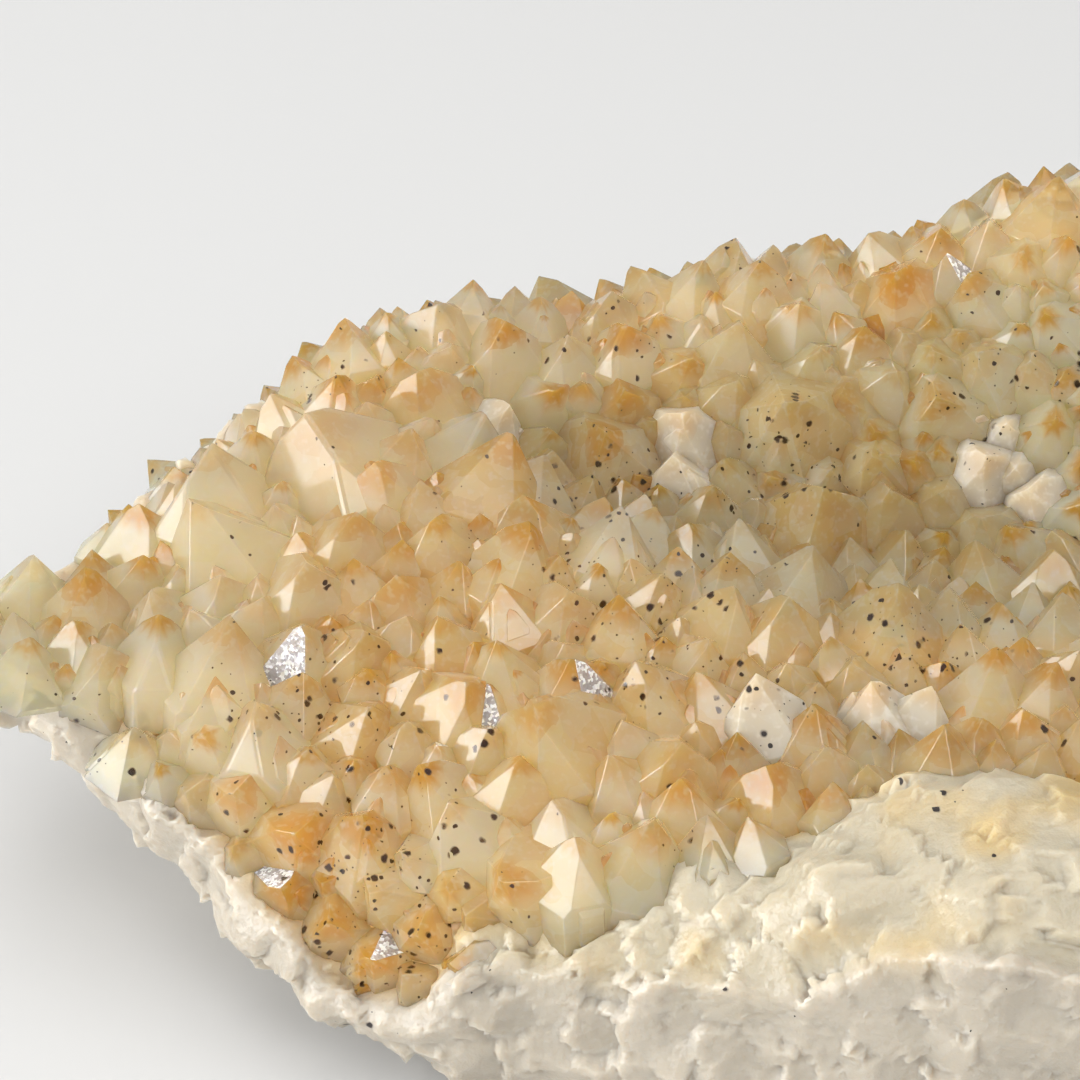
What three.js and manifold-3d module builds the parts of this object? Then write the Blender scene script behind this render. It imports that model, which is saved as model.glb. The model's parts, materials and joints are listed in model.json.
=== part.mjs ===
// A citrine cluster: a slab of milky quartz whose upper side is covered with citrine points.
// Every point is grown together with its neighbours and with the slab, so the cluster is one solid.
// Millimetres, +Z up, resting on the flat middle of its underside, with the origin under its centre.
import * as THREE from "three";
import { ConvexGeometry } from "three/addons/geometries/ConvexGeometry.js";
import { mergeVertices } from "three/addons/utils/BufferGeometryUtils.js";
import Module from "manifold-3d";

const wasm = await Module();
wasm.setup();

// ---------- driving dimensions ----------
const CENTRE = { x: 22, y: -9 }; // the slab's outline is star-shaped about this point
const MIDDLE = { x: 23.9, y: -7.2 }; // the middle of the whole cluster's plan, which becomes the origin

// The slab's rim, anticlockwise from the thin left end: x, y, lower edge z, upper edge z.
const RIM = [
  [-52.5, -10.5, 21, 28],
  [-47.6, -13.5, 20, 27],
  [-41.5, -16, 18, 26],
  [-37, -19.5, 15.5, 24],
  [-33.5, -23.5, 13, 22],
  [-28.5, -27, 10, 19],
  [-23.5, -32.5, 7.5, 15],
  [-18, -36.5, 6, 11.5],
  [-11, -39.5, 4.5, 11],
  [-3.5, -41.5, 2.5, 16],
  [6.5, -44, 1, 17.5],
  [16, -47.5, 0.8, 19],
  [27, -50.5, 1, 26],
  [38, -52.5, 1.5, 27],
  [50, -53.5, 1, 26],
  [63, -52, 2, 22],
  [76, -47, 4, 19],
  [87, -37.5, 6, 21],
  [94.5, -24, 5, 26],
  [97.5, -8, 3, 31],
  [94, 8, 2, 36],
  [86, 21, 3, 41],
  [74, 30, 2, 45],
  [61, 34.5, 2, 47],
  [49, 35.5, 1.5, 46],
  [37, 33.5, 2, 42],
  [25, 34, 2.5, 40],
  [14, 33.5, 2, 39],
  [4, 31, 3, 37],
  [-6, 31, 4, 36],
  [-14, 29.5, 5, 35],
  [-22, 25.5, 7, 33],
  [-28, 19.5, 9, 31],
  [-34, 13, 11, 29],
  [-40, 5, 14, 28],
  [-45.5, -1.5, 17, 27.5],
  [-50.5, -6.5, 20, 27.5],
];

// The slab's upper side is a tilted plane with broad swells and hollows: x, y, rise, spread.
const TOP_PLANE = { z: 33.8, slopeY: 0.28 };
const SWELLS = [
  [-42, 2, -5.5, 15],
  [-16, -32, -5, 10],
  [2, 27, -3, 4],
  [2, 10, -5, 6.5],
  [15, 7, -5, 7],
  [27, 1, -5, 8],
  [39, 3, -5.5, 8],
  [51, 0, -3.5, 9],
  [54, 28, 9, 13],
  [34, -43, 6, 8],
  [46, -44, 6.5, 8],
  [23, -46, 4, 5],
];

// Bare milky quartz along the near edge, where no points stand: x, y, radius.
const BARE = [
  [37, -46, 14.5],
  [26, -47, 12],
  [10, -46, 9],
  [-2, -44, 6],
];

const SLAB = { detail: 5, wallLatitude: 26, foot: 0.6, bulge: 1.6, roughness: 1.6, calm: 0.25, grain: 7 };

// The larger points, by the place of their feet in plan: x, y, width.
const LARGE_POINTS = [
  [-22, 18, 9],
  [-18, 19.5, 9],
  [-9.5, 21.5, 10.5],
  [-3.5, 20, 11.5],
  [7, 24.5, 9],
  [15, 26.5, 9],
  [20.5, 25, 9],
  [34, 22.5, 13],
  [41, 20.5, 9],
  [-29, 4, 16],
  [-28.5, -2, 13],
  [-36, 2, 10.5],
  [-40, -7, 11.5],
  [-45, -4.5, 11],
  [-49, -9, 9],
  [-19, 6, 16.5],
  [-14, 2, 9],
  [-4.5, 3, 13],
  [-0.5, 4, 9],
  [6.5, 11.5, 15],
  [15.5, 6, 9],
  [23, 13, 13],
  [37, 13, 9],
  [25, 5, 16],
  [40, -2, 11],
  [45.5, -3.5, 9],
  [-8.5, -4.5, 9],
  [-2, -6.5, 9],
  [-12, -9.5, 9],
  [2, -12, 9],
  [13.5, -2, 9],
  [22.5, -7, 13],
  [21, -13.5, 10.5],
  [30.5, -13.5, 13],
  [-15.5, -14.5, 9],
  [-15, -21, 9],
  [-25, -25.5, 12],
  [-20, -29, 9.5],
  [-6, -31.5, 9.5],
  [3, -37, 8],
  [19, -31, 9],
  [33, -29.5, 11.5],
  [1, -24.5, 11.5],
  [9, -20.5, 11.5],
  [11, -28, 10.5],
  [-29.5, -25, 8],
  [-21.5, -31.5, 8],
  [-17, -34, 8.5],
  [-13.5, -36.5, 8],
  [-9.5, -36.5, 9],
  [-6, -39.5, 8],
  [-1.5, -37, 9.5],
  [8.5, -36, 9],
  [-34.5, -21, 8],
  [-14.5, -30, 10],
];

// The other points stand wherever there is room: places tried this far apart, least and most width,
// room kept to the other points in mean widths, and the share of the slab's radius that they reach.
const FIELD = { pitch: 3.7, width: [8.2, 13.5], room: 0.78, inset: 0.985 };
// Points that grow out over the rim, on the far side and round the right end, between two directions from the
// centre: distance along the rim, drop between rows, climb of the axes, height in widths, least and most width,
// and the least distance of a foot over the rim's lower edge in widths.
const SKIRT = {
  from: -0.5,
  to: 2.85,
  step: 12.5,
  drop: 8,
  climb: [0.9, 0.3], // of the upper row and of the lower one
  height: 0.6,
  width: [8.5, 12],
  sunk: 0.2, // of the feet, in widths
  clear: 0.6,
};
const POINT = {
  height: [0.32, 0.5], // of the tip over the slab, in widths
  edgeShare: 0.6, // what is left of that height at the rim
  root: 6, // depth in the slab, where it is thick enough
  widest: 1.3, // greatest width, in thicknesses of the slab
  draw: [0, 0.2, 0.5], // how the axes are drawn off the slab's normal where it is nearly level
  lean: 0.26,
  pyramid: 51.8, // slope of the end faces
  uneven: 0.12, // their set-back from the tip, in widths
};

// ---------- repeatable irregularity ----------
// A value from 0 to 1 that depends only on i, j and k.
function scatter(i, j, k) {
  const s = Math.sin(i * 127.1 + j * 311.7 + k * 74.7) * 43758.5453;
  return s - Math.floor(s);
}

const smooth = (t) => t * t * (3 - 2 * t);
const clamp01 = (t) => Math.min(1, Math.max(0, t));
const mix = (a, b, t) => a + (b - a) * t;

// Smooth noise from -1 to 1 with a period of about one unit.
function lumps(x, y, z) {
  const [i, j, k] = [Math.floor(x), Math.floor(y), Math.floor(z)];
  const [u, v, w] = [smooth(x - i), smooth(y - j), smooth(z - k)];
  const corner = (a, b, c) => scatter(i + a, j + b, k + c);
  const edge = (b, c) => mix(corner(0, b, c), corner(1, b, c), u);
  return 2 * mix(mix(edge(0, 0), edge(1, 0), v), mix(edge(0, 1), edge(1, 1), v), w) - 1;
}

// ---------- the slab ----------
const rimPoints = RIM.map(([x, y, low, high]) => ({
  angle: Math.atan2(y - CENTRE.y, x - CENTRE.x),
  radius: Math.hypot(x - CENTRE.x, y - CENTRE.y),
  low,
  high,
})).sort((a, b) => a.angle - b.angle);

// Radius and edge heights of the rim in one direction from the centre.
function rimAt(angle) {
  const n = rimPoints.length;
  const after = rimPoints.findIndex((p) => p.angle > angle);
  const b = rimPoints[after < 0 ? 0 : after];
  const a = rimPoints[((after < 0 ? 0 : after) + n - 1) % n];
  const turn = 2 * Math.PI;
  const gap = (b.angle - a.angle + turn) % turn;
  const t = ((angle - a.angle + turn) % turn) / gap;
  return { radius: mix(a.radius, b.radius, t), low: mix(a.low, b.low, t), high: mix(a.high, b.high, t) };
}

// How far out a place of the plan lies: 0 at the centre, 1 on the rim.
function shareOut(x, y) {
  const [dx, dy] = [x - CENTRE.x, y - CENTRE.y];
  return Math.hypot(dx, dy) / rimAt(Math.atan2(dy, dx)).radius;
}

// 1 in a place with no points, 0 from a few millimetres outside it.
function bareness(x, y) {
  const reach = 3;
  const ways = BARE.map(([a, b, radius]) => (radius + reach - Math.hypot(x - a, y - b)) / reach);
  return smooth(clamp01(Math.max(...ways)));
}

// Height of the slab's upper side over a point of its plan.
function topHeight(x, y) {
  let z = TOP_PLANE.z + TOP_PLANE.slopeY * y;
  for (const [sx, sy, rise, spread] of SWELLS) {
    z += rise * Math.exp(-((x - sx) ** 2 + (y - sy) ** 2) / (2 * spread ** 2));
  }
  const rim = rimAt(Math.atan2(y - CENTRE.y, x - CENTRE.x));
  return mix(z, rim.high, smooth(clamp01((shareOut(x, y) - 0.84) / 0.16)));
}

// Height of its underside, which is flat in the middle.
function underHeight(x, y) {
  const rim = rimAt(Math.atan2(y - CENTRE.y, x - CENTRE.x));
  return rim.low * smooth(clamp01((shareOut(x, y) - SLAB.foot) / (1 - SLAB.foot)));
}

// The slab's surface in a direction: latitude 90 is the middle of its top and -90 of its underside.
function slabPoint(angle, latitude) {
  const rim = rimAt(angle);
  const wall = SLAB.wallLatitude;
  const place = (share, z) => {
    const r = rim.radius * share;
    return new THREE.Vector3(CENTRE.x + r * Math.cos(angle), CENTRE.y + r * Math.sin(angle), z);
  };
  if (latitude > wall) {
    const p = place((90 - latitude) / (90 - wall), 0);
    return p.setZ(topHeight(p.x, p.y));
  }
  if (latitude > -wall) {
    const down = (wall - latitude) / (2 * wall);
    const out = 1 + (SLAB.bulge * Math.sin(Math.PI * down)) / rim.radius;
    return place(out, mix(rim.high, rim.low, down));
  }
  const p = place((90 + latitude) / (90 - wall), 0);
  return p.setZ(underHeight(p.x, p.y));
}

function slabGeometry() {
  const ball = new THREE.IcosahedronGeometry(1, SLAB.detail);
  ball.deleteAttribute("normal");
  ball.deleteAttribute("uv");
  const slab = mergeVertices(ball, 1e-4);
  const at = slab.getAttribute("position");
  const v = new THREE.Vector3();
  for (let i = 0; i < at.count; i++) {
    v.fromBufferAttribute(at, i).normalize();
    const latitude = THREE.MathUtils.radToDeg(Math.asin(v.z));
    const p = slabPoint(Math.atan2(v.y, v.x), latitude);
    const underPoints = latitude > SLAB.wallLatitude ? 1 - bareness(p.x, p.y) : 0;
    const wave = p.z < 0.01 ? 0 : SLAB.roughness * mix(1, SLAB.calm, underPoints);
    const [x, y, z] = [p.x, p.y, p.z].map((d) => d / SLAB.grain);
    p.x += wave * lumps(x, y, z);
    p.y += wave * lumps(x + 40, y, z);
    p.z = Math.max(0, p.z + wave * lumps(x, y + 40, z));
    at.setXYZ(i, p.x, p.y, p.z);
  }
  return slab;
}

// ---------- the points ----------
// One quartz point along +Z with its tip at the origin: six prism faces and six pyramid faces, every other
// one set back further, so that no two points end alike.
function crystalGeometry(width, length, seed) {
  const steep = THREE.MathUtils.degToRad(POINT.pyramid);
  const planes = [new THREE.Plane(new THREE.Vector3(0, 0, -1), -length)];
  for (let i = 0; i < 6; i++) {
    const a = (i * Math.PI) / 3;
    const [c, s] = [Math.cos(a), Math.sin(a)];
    const prism = width * (0.5 + 0.14 * (scatter(seed, i, 1) - 0.5));
    const setBack = width * POINT.uneven * scatter(seed, i, 2) * (i % 2 ? 1 : 0.3);
    const slope = new THREE.Vector3(c * Math.sin(steep), s * Math.sin(steep), Math.cos(steep));
    planes.push(new THREE.Plane(new THREE.Vector3(c, s, 0), -prism), new THREE.Plane(slope, -setBack));
  }
  return new ConvexGeometry(cornersOf(planes));
}

// The corners of the convex solid behind all the planes.
function cornersOf(planes) {
  const corners = [];
  for (let i = 0; i < planes.length; i++) {
    for (let j = i + 1; j < planes.length; j++) {
      for (let k = j + 1; k < planes.length; k++) {
        const p = meeting(planes[i], planes[j], planes[k]);
        if (p && planes.every((q) => q.distanceToPoint(p) < 1e-5)) {
          if (corners.every((c) => c.distanceTo(p) > 0.02)) corners.push(p);
        }
      }
    }
  }
  return corners;
}

function meeting(a, b, c) {
  const bc = new THREE.Vector3().crossVectors(b.normal, c.normal);
  const det = a.normal.dot(bc);
  if (Math.abs(det) < 1e-6) return null;
  const p = bc.multiplyScalar(-a.constant);
  p.addScaledVector(new THREE.Vector3().crossVectors(c.normal, a.normal), -b.constant);
  p.addScaledVector(new THREE.Vector3().crossVectors(a.normal, b.normal), -c.constant);
  return p.divideScalar(det);
}

function topNormal(x, y) {
  const d = 1.5;
  const dx = (topHeight(x + d, y) - topHeight(x - d, y)) / (2 * d);
  const dy = (topHeight(x, y + d) - topHeight(x, y - d)) / (2 * d);
  return new THREE.Vector3(-dx, -dy, 1).normalize();
}

// A point that leaves the slab at foot and leans a little off the given axis.
function grown(foot, axis, width, rise, root, seed) {
  const lean = (k) => POINT.lean * 2 * (scatter(seed, k, 7) - 0.5);
  const along = axis.clone().add(new THREE.Vector3(lean(1), lean(2), 0)).normalize();
  const up = new THREE.Vector3(0, 0, 1);
  const turn = new THREE.Quaternion().setFromUnitVectors(up, along);
  turn.multiply(new THREE.Quaternion().setFromAxisAngle(up, scatter(seed, 3, 7) * Math.PI));
  const tip = foot.clone().addScaledVector(along, rise);
  const geometry = crystalGeometry(width, rise + root, seed);
  geometry.applyQuaternion(turn).translate(tip.x, tip.y, tip.z);
  return { geometry, width, foot };
}

// A point on the slab's upper side, with its foot at x, y.
function standing(x, y, width, seed) {
  const axis = topNormal(x, y);
  axis.addScaledVector(new THREE.Vector3(...POINT.draw), axis.z ** 6).normalize();
  const edge = smooth(clamp01((shareOut(x, y) - 0.78) / 0.2));
  const top = topHeight(x, y);
  const thickness = top - underHeight(x, y);
  const fitting = Math.min(width, POINT.widest * thickness);
  const rise = fitting * mix(...POINT.height, scatter(seed, 4, 7)) * mix(1, POINT.edgeShare, edge);
  const root = Math.min(POINT.root, thickness / 3);
  return grown(new THREE.Vector3(x, y, top), axis, fitting, rise, root, seed);
}

function skirtPoints() {
  const found = [];
  for (let angle = SKIRT.from, k = 0; angle < SKIRT.to; k++) {
    const rim = rimAt(angle);
    const rows = 1 + Math.floor((rim.high - rim.low) / 2 / SKIRT.drop);
    for (let r = 0; r < rows; r++) {
      const width = mix(...SKIRT.width, scatter(k, r, 12));
      const turn = angle + ((scatter(k, r, 13) - 0.5 + (r % 2) / 2) * SKIRT.step) / rim.radius;
      const out = new THREE.Vector3(Math.cos(turn), Math.sin(turn), 0);
      const edge = rimAt(turn);
      const reach = edge.radius + SLAB.bulge - SKIRT.sunk * width;
      const z = edge.high - 4 - r * SKIRT.drop + 3 * (scatter(k, r, 14) - 0.5);
      if (z - edge.low < SKIRT.clear * width) continue;
      const foot = new THREE.Vector3(CENTRE.x, CENTRE.y, z).addScaledVector(out, reach);
      const axis = out.setZ(SKIRT.climb[Math.min(r, 1)]).normalize();
      found.push(grown(foot, axis, width, width * SKIRT.height, POINT.root, 500 + k * 7 + r));
    }
    angle += SKIRT.step / rim.radius;
  }
  return found;
}

// Adds points to those already there, wherever a place on a jittered grid has room for one.
function fillField(points) {
  const reach = Math.floor(80 / FIELD.pitch);
  for (let j = -reach; j < reach; j++) {
    for (let i = -reach; i < Math.floor(1.3 * reach); i++) {
      const x = (i + (j & 1) / 2 + 0.8 * (scatter(i, j, 4) - 0.5)) * FIELD.pitch;
      const y = (j * Math.sqrt(0.75) + 0.8 * (scatter(i, j, 5) - 0.5)) * FIELD.pitch;
      if (shareOut(x, y) > FIELD.inset || bareness(x, y) > 0.5) continue;
      const width = mix(...FIELD.width, scatter(i, j, 6) ** 3);
      const spot = new THREE.Vector3(x, y, topHeight(x, y));
      const free = (p) => spot.distanceTo(p.foot) > FIELD.room * (width + p.width) / 2;
      if (points.every(free)) points.push(standing(x, y, width, 4000 + i * 61 + j));
    }
  }
}

// ---------- joining ----------
function solidOf(geometry) {
  const g = geometry.clone();
  g.deleteAttribute("normal");
  g.deleteAttribute("uv");
  const merged = mergeVertices(g, 1e-4);
  return new wasm.Manifold(new wasm.Mesh({
    numProp: 3,
    vertProperties: merged.getAttribute("position").array,
    triVerts: new Uint32Array(merged.index.array),
  }));
}

function geometryOf(solid) {
  const mesh = solid.getMesh();
  const at = new THREE.BufferAttribute(new Float32Array(mesh.vertProperties), mesh.numProp);
  return new THREE.BufferGeometry().setAttribute("position", at)
    .setIndex(new THREE.BufferAttribute(mesh.triVerts, 1));
}

const points = LARGE_POINTS.map(([x, y, width], n) => standing(x, y, width, 1000 + n));
points.push(...skirtPoints());
fillField(points);
const cluster = wasm.Manifold.union([slabGeometry(), ...points.map((p) => p.geometry)].map(solidOf));
const citrine = new THREE.MeshStandardMaterial({ color: 0xe8c88a, roughness: 0.25, metalness: 0 });
const mesh = new THREE.Mesh(geometryOf(cluster), citrine);
mesh.name = "citrine_cluster";
const group = new THREE.Group();
group.position.set(-MIDDLE.x, -MIDDLE.y, 0);
group.add(mesh);
export default group;
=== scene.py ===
import itertools
import json
import math

import bmesh
import bpy
import numpy as np
from mathutils import Matrix, Vector, noise

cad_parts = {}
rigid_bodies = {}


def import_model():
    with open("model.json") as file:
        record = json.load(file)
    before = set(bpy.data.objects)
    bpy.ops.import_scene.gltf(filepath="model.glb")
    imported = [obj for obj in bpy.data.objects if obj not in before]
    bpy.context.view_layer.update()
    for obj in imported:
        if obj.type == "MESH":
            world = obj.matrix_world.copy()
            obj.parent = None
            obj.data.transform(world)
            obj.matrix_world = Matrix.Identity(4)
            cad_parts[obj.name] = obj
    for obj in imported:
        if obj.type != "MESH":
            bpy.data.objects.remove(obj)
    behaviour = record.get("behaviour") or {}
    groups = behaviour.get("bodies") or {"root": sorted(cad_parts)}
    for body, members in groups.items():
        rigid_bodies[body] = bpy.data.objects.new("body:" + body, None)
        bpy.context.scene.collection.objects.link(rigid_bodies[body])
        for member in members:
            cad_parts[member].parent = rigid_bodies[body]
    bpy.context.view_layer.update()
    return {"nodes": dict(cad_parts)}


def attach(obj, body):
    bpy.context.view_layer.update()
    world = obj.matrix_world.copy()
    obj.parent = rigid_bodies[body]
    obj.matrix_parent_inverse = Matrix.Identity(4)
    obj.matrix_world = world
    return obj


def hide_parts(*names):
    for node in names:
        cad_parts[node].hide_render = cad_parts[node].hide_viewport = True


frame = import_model()
scene = bpy.context.scene
print("frame loaded:", ", ".join(frame["nodes"]))

mm = 0.001                    # the forms are worked out in millimetres

# the stone's form, the same as in the solid
# its plan has a zero of its own, and "middle" is the place there that lies on the frame's origin
stone = {
    "centre": (22, -9),       # the outline is star-shaped about this point
    "middle": (23.9, -7.2),
    "topZ": 33.8,             # the crystal side is a tilted plane with swells
    "topSlopeY": 0.28,
    "rimBand": (0.84, 0.16),  # share of the way out where it starts to meet the rim, and how soon
    "foot": 0.6,              # share of the underside that is flat
    "bulge": 1.6,             # of the wall
    "wave": 1.6,              # height and size of the big waves in the skin
    "waveSize": 7,
    # places with no points: x, y, radius
    "bare": [(37, -46, 14.5), (26, -47, 12), (10, -46, 9), (-2, -44, 6)],
    "bareEdge": 3,            # over which they pass into the crust
    "slopeStep": 1.5,         # distance either way over which a slope is taken
}

# round the rim, anticlockwise from the thin end: x, y, lower edge z, upper edge z
rimLine = [
    (-52.5, -10.5, 21, 28), (-47.6, -13.5, 20, 27), (-41.5, -16, 18, 26), (-37, -19.5, 15.5, 24),
    (-33.5, -23.5, 13, 22), (-28.5, -27, 10, 19), (-23.5, -32.5, 7.5, 15), (-18, -36.5, 6, 11.5),
    (-11, -39.5, 4.5, 11), (-3.5, -41.5, 2.5, 16), (6.5, -44, 1, 17.5), (16, -47.5, 0.8, 19),
    (27, -50.5, 1, 26), (38, -52.5, 1.5, 27), (50, -53.5, 1, 26), (63, -52, 2, 22),
    (76, -47, 4, 19), (87, -37.5, 6, 21), (94.5, -24, 5, 26), (97.5, -8, 3, 31),
    (94, 8, 2, 36), (86, 21, 3, 41), (74, 30, 2, 45), (61, 34.5, 2, 47),
    (49, 35.5, 1.5, 46), (37, 33.5, 2, 42), (25, 34, 2.5, 40), (14, 33.5, 2, 39),
    (4, 31, 3, 37), (-6, 31, 4, 36), (-14, 29.5, 5, 35), (-22, 25.5, 7, 33),
    (-28, 19.5, 9, 31), (-34, 13, 11, 29), (-40, 5, 14, 28), (-45.5, -1.5, 17, 27.5),
    (-50.5, -6.5, 20, 27.5),
]

# swells and hollows of the crystal side: x, y, rise, spread
swells = [
    (-42, 2, -5.5, 15), (-16, -32, -5, 10), (2, 27, -3, 4), (2, 10, -5, 6.5),
    (15, 7, -5, 7), (27, 1, -5, 8), (39, 3, -5.5, 8), (51, 0, -3.5, 9),
    (54, 28, 9, 13), (34, -43, 6, 8), (46, -44, 6.5, 8), (23, -46, 4, 5),
]


# an even random number from 0 to 1; the last seed tells its uses apart
def scatter(i, j, k):
    s = np.sin(i * 127.1 + j * 311.7 + k * 74.7) * 43758.5453
    return s - np.floor(s)


def smooth(t):
    t = np.clip(t, 0, 1)
    return t * t * (3 - 2 * t)


def ramp(value, start, width):
    return smooth((value - start) / width)


def mix(a, b, t):
    return a + (b - a) * t


# smooth noise from -1 to 1, with a period of about one unit
def lumps(x, y, z):
    i, j, k = np.floor(x), np.floor(y), np.floor(z)
    u, v, w = smooth(x - i), smooth(y - j), smooth(z - k)

    def edge(b, c):
        return mix(scatter(i, j + b, k + c), scatter(i + 1, j + b, k + c), u)

    return 2 * mix(mix(edge(0, 0), edge(1, 0), v), mix(edge(0, 1), edge(1, 1), v), w) - 1


def polar(x, y):
    dx, dy = x - stone["centre"][0], y - stone["centre"][1]
    return np.arctan2(dy, dx), np.hypot(dx, dy)


rim = np.array(rimLine, float)
rimAngle, rimRadius = polar(rim[:, 0], rim[:, 1])


# radius, lower edge and upper edge of the rim in a direction
def rimAt(angle):
    def around(values):
        return np.interp(angle, rimAngle, values, period=2 * np.pi)
    return around(rimRadius), around(rim[:, 2]), around(rim[:, 3])


def topHeight(x, y):
    z = stone["topZ"] + stone["topSlopeY"] * y
    for sx, sy, rise, spread in swells:
        z = z + rise * np.exp(-((x - sx) ** 2 + (y - sy) ** 2) / (2 * spread ** 2))
    angle, reach = polar(x, y)
    radius, _, high = rimAt(angle)
    return mix(z, high, ramp(reach / radius, *stone["rimBand"]))


# the underside: flat up to the foot's edge, then rising to the lower edge of the rim
def underRise(share):
    return ramp(share, stone["foot"], 1 - stone["foot"])


def underHeight(x, y):
    angle, reach = polar(x, y)
    radius, low, _ = rimAt(angle)
    return low * underRise(reach / radius)


# 1 in a place with no points, 0 from a few millimetres outside it
def bareness(x, y):
    most, edge = 0, stone["bareEdge"]
    for bx, by, radius in stone["bare"]:
        most = np.maximum(most, smooth((radius + edge - np.hypot(x - bx, y - by)) / edge))
    return most


def topNormal(x, y):
    d = stone["slopeStep"]
    dx = (topHeight(x + d, y) - topHeight(x - d, y)) / (2 * d)
    dy = (topHeight(x, y + d) - topHeight(x, y - d)) / (2 * d)
    return Vector((-dx, -dy, 1)).normalized()


# the quartz points
points = {
    "height": (0.32, 0.5),    # of the tips over the slab, least and most, in widths
    "edge": (0.78, 0.2),      # share of the way out where the points get lower, and how soon
    "edgeHeight": 0.6,        # share of their height that is left at the rim
    "widest": 1.3,            # in thicknesses of the slab
    "root": 6,                # depth of the root, but never more than
    "rootShare": 3,           # the thickness over this
    "lean": 0.26,
    "draw": (0, 0.2, 0.5),    # where the points of level places lean
    "drawPower": 6,
    "pyramid": 51.8,          # slope of the end faces, the real angle of quartz
    "sideUneven": 0.14,       # how far the faces stray from an even form, in widths
    "endUneven": 0.12,
    "endEven": 0.3,           # and the share of it for every other end face
    "bevel": 0.06, "bevelWorn": 0.4,
    "jitter": 0.8,            # of the places tried, in spacings
    "inset": 0.985,           # share of the way out that is planted
    "reach": (80, 1.3),       # of the planted square, and how much further it goes to the right
    # spacing of the places tried, least and most width, how rare wide ones are,
    # and the room kept to the points already there, in mean widths
    "field": (3.7, 8.2, 13.5, 3, 0.78),
    "between": (2.4, 6.8, 9.4, 1, 0.5),
    "small": (1.8, 4.4, 6.2, 1, 0.46),
    "wall": (3.2, 5.5, 9, 2, 0.5),
    "wallDepth": 11, "wallClimb": (1.1, 0.2),
    # a skirt of points round the hidden part of the rim, from one angle to another
    "skirt": (-0.5, 2.85), "skirtStep": 12.5, "skirtDrop": 8, "skirtTop": 4, "skirtStray": 3,
    "skirtClimb": (0.9, 0.3), "skirtHeight": 0.6, "skirtWidth": (8.5, 12), "skirtSunk": 0.2,
    "skirtClear": 0.6,
    # parallel points on the end faces of the larger ones
    "ledgeFrom": 6.2,         # least width of their parent
    "ledgeTries": 3, "ledgeShare": 0.55,
    "ledgeTurn": 24,          # degrees that they stray from the middle of a face
    "ledgeAside": (0.14, 0.34), "ledgeWidth": (0.4, 0.62),    # in widths of the parent
    "ledgeStep": (0.15, 0.6), "ledgeSlant": 1.6,              # out of the face, and down for that
    "ledgeLeast": 0.3, "ledgeRoot": 2,
}

# the larger points, by the place of their feet in plan: x, y, width
largePoints = [
    (-22, 18, 9), (-18, 19.5, 9), (-9.5, 21.5, 10.5), (-3.5, 20, 11.5), (7, 24.5, 9),
    (15, 26.5, 9), (20.5, 25, 9), (34, 22.5, 13), (41, 20.5, 9), (-29, 4, 16),
    (-28.5, -2, 13), (-36, 2, 10.5), (-40, -7, 11.5), (-45, -4.5, 11), (-49, -9, 9),
    (-19, 6, 16.5), (-14, 2, 9), (-4.5, 3, 13), (-0.5, 4, 9), (6.5, 11.5, 15),
    (15.5, 6, 9), (23, 13, 13), (37, 13, 9), (25, 5, 16), (40, -2, 11),
    (45.5, -3.5, 9), (-8.5, -4.5, 9), (-2, -6.5, 9), (-12, -9.5, 9), (2, -12, 9),
    (13.5, -2, 9), (22.5, -7, 13), (21, -13.5, 10.5), (30.5, -13.5, 13), (-15.5, -14.5, 9),
    (-15, -21, 9), (-25, -25.5, 12), (-20, -29, 9.5), (-6, -31.5, 9.5), (3, -37, 8),
    (19, -31, 9), (33, -29.5, 11.5), (1, -24.5, 11.5), (9, -20.5, 11.5), (11, -28, 10.5),
    (-29.5, -25, 8), (-21.5, -31.5, 8), (-17, -34, 8.5), (-13.5, -36.5, 8), (-9.5, -36.5, 9),
    (-6, -39.5, 8), (-1.5, -37, 9.5), (8.5, -36, 9), (-34.5, -21, 8), (-14.5, -30, 10),
]


# the planes a point lies behind: outward normals and distances from its tip
def pointPlanes(width, length, seed):
    steep = math.radians(points["pyramid"])
    normals, offsets = [(0, 0, -1)], [length]
    for i in range(6):
        a = i * math.pi / 3
        c, s = math.cos(a), math.sin(a)
        normals.append((c, s, 0))
        offsets.append(width * (0.5 + points["sideUneven"] * (scatter(seed, i, 1) - 0.5)))
        normals.append((c * math.sin(steep), s * math.sin(steep), math.cos(steep)))
        share = 1 if i % 2 else points["endEven"]
        offsets.append(width * points["endUneven"] * scatter(seed, i, 2) * share)
    return np.array(normals, float), np.array(offsets, float)


# where three planes meet and no other plane cuts the place off, with the planes' numbers
def meetingPoints(normals, offsets):
    trios = np.array(list(itertools.combinations(range(len(offsets)), 3)))
    a, b, c = normals[trios[:, 0]], normals[trios[:, 1]], normals[trios[:, 2]]
    bc, ca, ab = np.cross(b, c), np.cross(c, a), np.cross(a, b)
    det = np.einsum("ij,ij->i", a, bc)
    crossing = np.abs(det) > 1e-6
    trios, bc, ca, ab, det = (t[crossing] for t in (trios, bc, ca, ab, det))
    d = offsets[trios]
    spots = (bc * d[:, :1] + ca * d[:, 1:2] + ab * d[:, 2:]) / det[:, None]
    inside = np.all(spots @ normals.T < offsets + 1e-5, axis=1)
    return spots[inside], trios[inside]


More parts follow.
